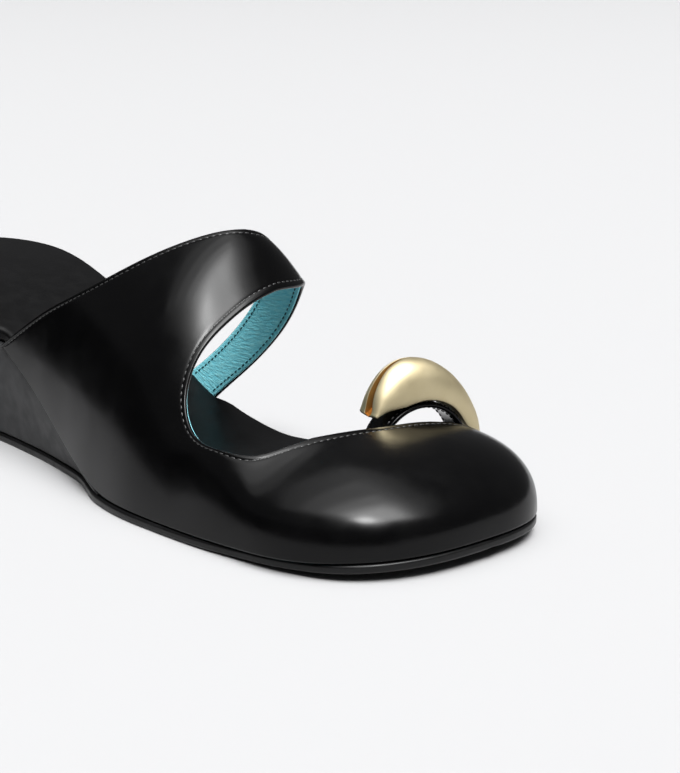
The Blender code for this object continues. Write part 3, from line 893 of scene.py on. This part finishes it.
# %% Matte leathers and rubber
def matte_leather(name, low, high, roughness, gloss):
    """Quiet leather between two colours, with a specular level."""
    material, tree, shader = new_finish(name, roughness, Specular_IOR_Level=gloss)
    colours(tree, noise(tree, 45, 4), [(0.3, low), (0.7, high)], shader.inputs["Base Color"])
    spread(tree, noise(tree, 180, 4), roughness - 0.05, roughness + 0.06, shader.inputs["Roughness"])
    relief(tree, shader, [(noise(tree, 1500, 3), 0.25, 0.00005), (noise(tree, 300, 3), 0.15, 0.00006)])
    return material


wedge_grey = matte_leather(
    "wedge_grey_leather", (0.011, 0.0115, 0.0125), (0.015, 0.0155, 0.0165), 0.50, 0.25)
footbed_dark = matte_leather(
    "footbed_dark_leather", (0.0012, 0.0012, 0.0013), (0.0020, 0.0020, 0.0022), 0.36, 0.14)


def sole_rubber():
    """Black rubber with a fine grain."""
    material, tree, shader = new_finish("sole_black_rubber", 0.35, Specular_IOR_Level=0.25)
    colours(tree, noise(tree, 80, 3), [(0.3, (0.0015, 0.0015, 0.0015)), (0.7, (0.0030, 0.0030, 0.0033))],
            shader.inputs["Base Color"])
    spread(tree, noise(tree, 300, 4), 0.30, 0.42, shader.inputs["Roughness"])
    relief(tree, shader, [(noise(tree, 900, 3), 0.2, 0.00005)])
    return material


sole_black = sole_rubber()

# %% [markdown]
# ## Gold and thread
# The plating is pale, closer to champagne than to yellow. A tenth of its shading is diffuse, which
# keeps it light where it mirrors the black leather, and faint marks vary its roughness. Inside the
# slot the gold is painted a deeper amber, as painted shade and painted reflection of gold on gold.
# The thread is a little lighter than the leather, so the rows show.

# %% Gold and thread
def gold_plating(name, low, high):
    """Satin plating between two colours."""
    material, tree, shader = new_finish(name, 0.46, Metallic=0.9)
    colours(tree, noise(tree, 120, 3), [(0.3, low), (0.7, high)], shader.inputs["Base Color"])
    spread(tree, noise(tree, 400, 4), 0.43, 0.49, shader.inputs["Roughness"])
    relief(tree, shader, [(noise(tree, 120, 2), 0.05, 0.00005)])
    return material


def thread(name, low, high):
    """Waxed thread between two colours."""
    material, tree, shader = new_finish(name, 0.35)
    colours(tree, noise(tree, 900, 2), [(0.3, low), (0.7, high)], shader.inputs["Base Color"])
    relief(tree, shader, [(noise(tree, 5000, 1, stretch=(1, 1, 3)), 0.5, 0.00005)])
    return material


gold = gold_plating("pale_gold", (0.51, 0.435, 0.27), (0.55, 0.475, 0.305))
# The slot's deeper amber is painted shade and painted reflection of gold on gold inside the narrow slot.
slot_gold_painted_shade = gold_plating("slot_gold_painted_shade", (0.30, 0.15, 0.035), (0.36, 0.19, 0.05))
black_thread = thread("black_thread", (0.012, 0.012, 0.012), (0.024, 0.024, 0.024))
dark_thread = thread("lining_thread", (0.010, 0.060, 0.075), (0.020, 0.100, 0.120))
print("finishes:", ", ".join(material.name for material in bpy.data.materials))

# %% [markdown]
# ## Putting the shoe together
# A shoe of leather and rubber has no joints, so every piece rides on the one body. Each finer piece
# stands for the solid that it was drawn from, and the lining and the stitches come on top.

# %% Dress, ride and replace
DRESSED = [
    (upper_leather, upper_black, "upper_leather", ["upper"]),
    (upper_lining, lining_blue, "upper_leather", []),
    (upper_stitches, black_thread, "upper_leather", []),
    (lining_stitches, dark_thread, "upper_leather", []),
    (outsole, sole_black, "sole_rubber", ["outsole"]),
    (wedge, wedge_grey, "wedge_leather", ["wedge"]),
    (footbed, footbed_dark, "footbed_leather", ["footbed"]),
    (toe_loop, loop_black, "upper_leather", ["toe_loop"]),
    (loop_stitches, black_thread, "upper_leather", []),
    (crescent, gold, "gold_metal", ["crescent"]),
]
for piece, finish, slot, nodes in DRESSED:
    piece.data.materials.append(finish)
    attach(piece, "root")
    if nodes:
        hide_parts(*nodes)
# The second material paints shade into the slot: its faces get the deeper amber gold.
crescent.data.materials.append(slot_gold_painted_shade)
mark_slot_painted_shade(crescent)
print("pieces on the one body:", len(DRESSED))

# %% [markdown]
# ## Camera
# The picture was taken from the front and outer side with a long lens, a little above the strap. The
# camera's place is given by the point that it looks at, its azimuth and elevation and its distance.

# %% Camera
AZIMUTH, ELEVATION = math.radians(46.804), math.radians(14.583)
TARGET = Vector((0.0622, 0.1327, -0.0108)) - ORIGIN
DISTANCE = 0.700
LENS, SENSOR = 84.67, 36.0

back = Vector((math.sin(AZIMUTH) * math.cos(ELEVATION), -math.cos(AZIMUTH) * math.cos(ELEVATION),
               math.sin(ELEVATION)))
right = Vector((math.cos(AZIMUTH), math.sin(AZIMUTH), 0.0))
camera_data = bpy.data.cameras.new("camera")
camera_data.lens, camera_data.sensor_width, camera_data.sensor_fit = LENS, SENSOR, "AUTO"
camera = bpy.data.objects.new("camera", camera_data)
turned = Matrix((right, back.cross(right), back)).transposed().to_4x4()
camera.matrix_world = Matrix.Translation(TARGET + DISTANCE * back) @ turned
bpy.context.scene.collection.objects.link(camera)
bpy.context.scene.camera = camera
print("camera at", [round(v, 3) for v in camera.location])

# %% [markdown]
# ## Floor and light
# The floor is a plain pale sheet. Seven soft panels face down from about 40 m, far enough to light it
# evenly. On black leather the panels are seen only as highlights, so each is placed for what it
# leaves there: a key panel with a wider halo for the streak on the strap, a small pair for the spot
# on the toe, and three wide ones between them. Each hangs at its own height, because panels that lie
# in one plane lose light in glossy reflections.

# %% Floor
FLOOR_REACH = 30.0

floor_mesh = bmesh.new()
bmesh.ops.create_grid(floor_mesh, x_segments=1, y_segments=1, size=FLOOR_REACH)
floor = finish_piece("floor", floor_mesh)
paper, _, shader = new_finish("floor_paper", 0.9)
shader.inputs["Base Color"].default_value = (0.318, 0.318, 0.3225, 1.0)
floor.data.materials.append(paper)

# %% Lights
def softbox(name, x, y, width, depth, brightness, height):
    """A panel that faces down: its place and size are counted for a height of 1 over the shoe."""
    data = bpy.data.lights.new(name, "AREA")
    data.shape, data.size, data.size_y = "RECTANGLE", height * width, height * depth
    data.energy = brightness * math.pi * data.size * data.size_y
    light = bpy.data.objects.new(name, data)
    light.location = (height * x, height * y, height)
    bpy.context.scene.collection.objects.link(light)
    print(f"{name}: {data.energy / 1000:.1f} kW, {data.size:.0f} x {data.size_y:.0f} m")


for name, x, y, width, depth, brightness, height in (
        ("key_light", 0.60, -0.16, 0.52, 0.56, 6.2, 37.0),
        ("key_halo", 0.60, -0.18, 0.74, 0.76, 5.6, 38.0),
        ("toe_light", 0.70, -0.48, 0.30, 0.26, 34.0, 39.0),
        ("toe_halo", 0.70, -0.46, 0.46, 0.42, 9.5, 40.0),
        ("middle_light", 0.50, -0.20, 1.00, 0.90, 3.2, 41.0),
        ("wide_ceiling", 0.35, -0.20, 1.40, 1.15, 1.5, 42.0),
        ("far_ceiling", 0.25, -0.20, 1.90, 1.50, 1.1, 43.0)):
    softbox(name, x, y, width, depth, brightness, height)

world = bpy.data.worlds.new("studio")
world.use_nodes = True
world.node_tree.nodes["Background"].inputs["Color"].default_value = (1.0, 1.0, 1.02, 1.0)
world.node_tree.nodes["Background"].inputs["Strength"].default_value = 0.12
bpy.context.scene.world = world
bpy.context.scene.view_settings.view_transform = "Standard"

# %% [markdown]
# ## A black card
# Photographers stand black cards beside glossy things to give them a dark side. This one is a low
# curved band round the outer side of the shoe. The side of the upper mirrors it and stays black above
# the pale floor. The camera doesn't see it, and it throws no shadow.

# %% A black card beside the camera
CARD_RADIUS, CARD_HEIGHT = 0.28, 0.10
CARD_MIDDLE = 0.051
CARD_EDGE = -0.05

card_mesh = bmesh.new()
bmesh.ops.create_cone(
    card_mesh, segments=64, radius1=CARD_RADIUS, radius2=CARD_RADIUS, depth=CARD_HEIGHT, cap_ends=False)
bmesh.ops.translate(card_mesh, verts=card_mesh.verts, vec=(0.0, 0.0, CARD_MIDDLE))
far_side = [face for face in card_mesh.faces if face.calc_center_median().y > CARD_EDGE]
bmesh.ops.delete(card_mesh, geom=far_side, context="FACES")
card = finish_piece("black_card", card_mesh)
velvet, _, shader = new_finish("card_velvet", 1.0, Specular_IOR_Level=0.0)
shader.inputs["Base Color"].default_value = (0.004, 0.004, 0.004, 1.0)
card.data.materials.append(velvet)
card.visible_camera = card.visible_shadow = card.visible_diffuse = False
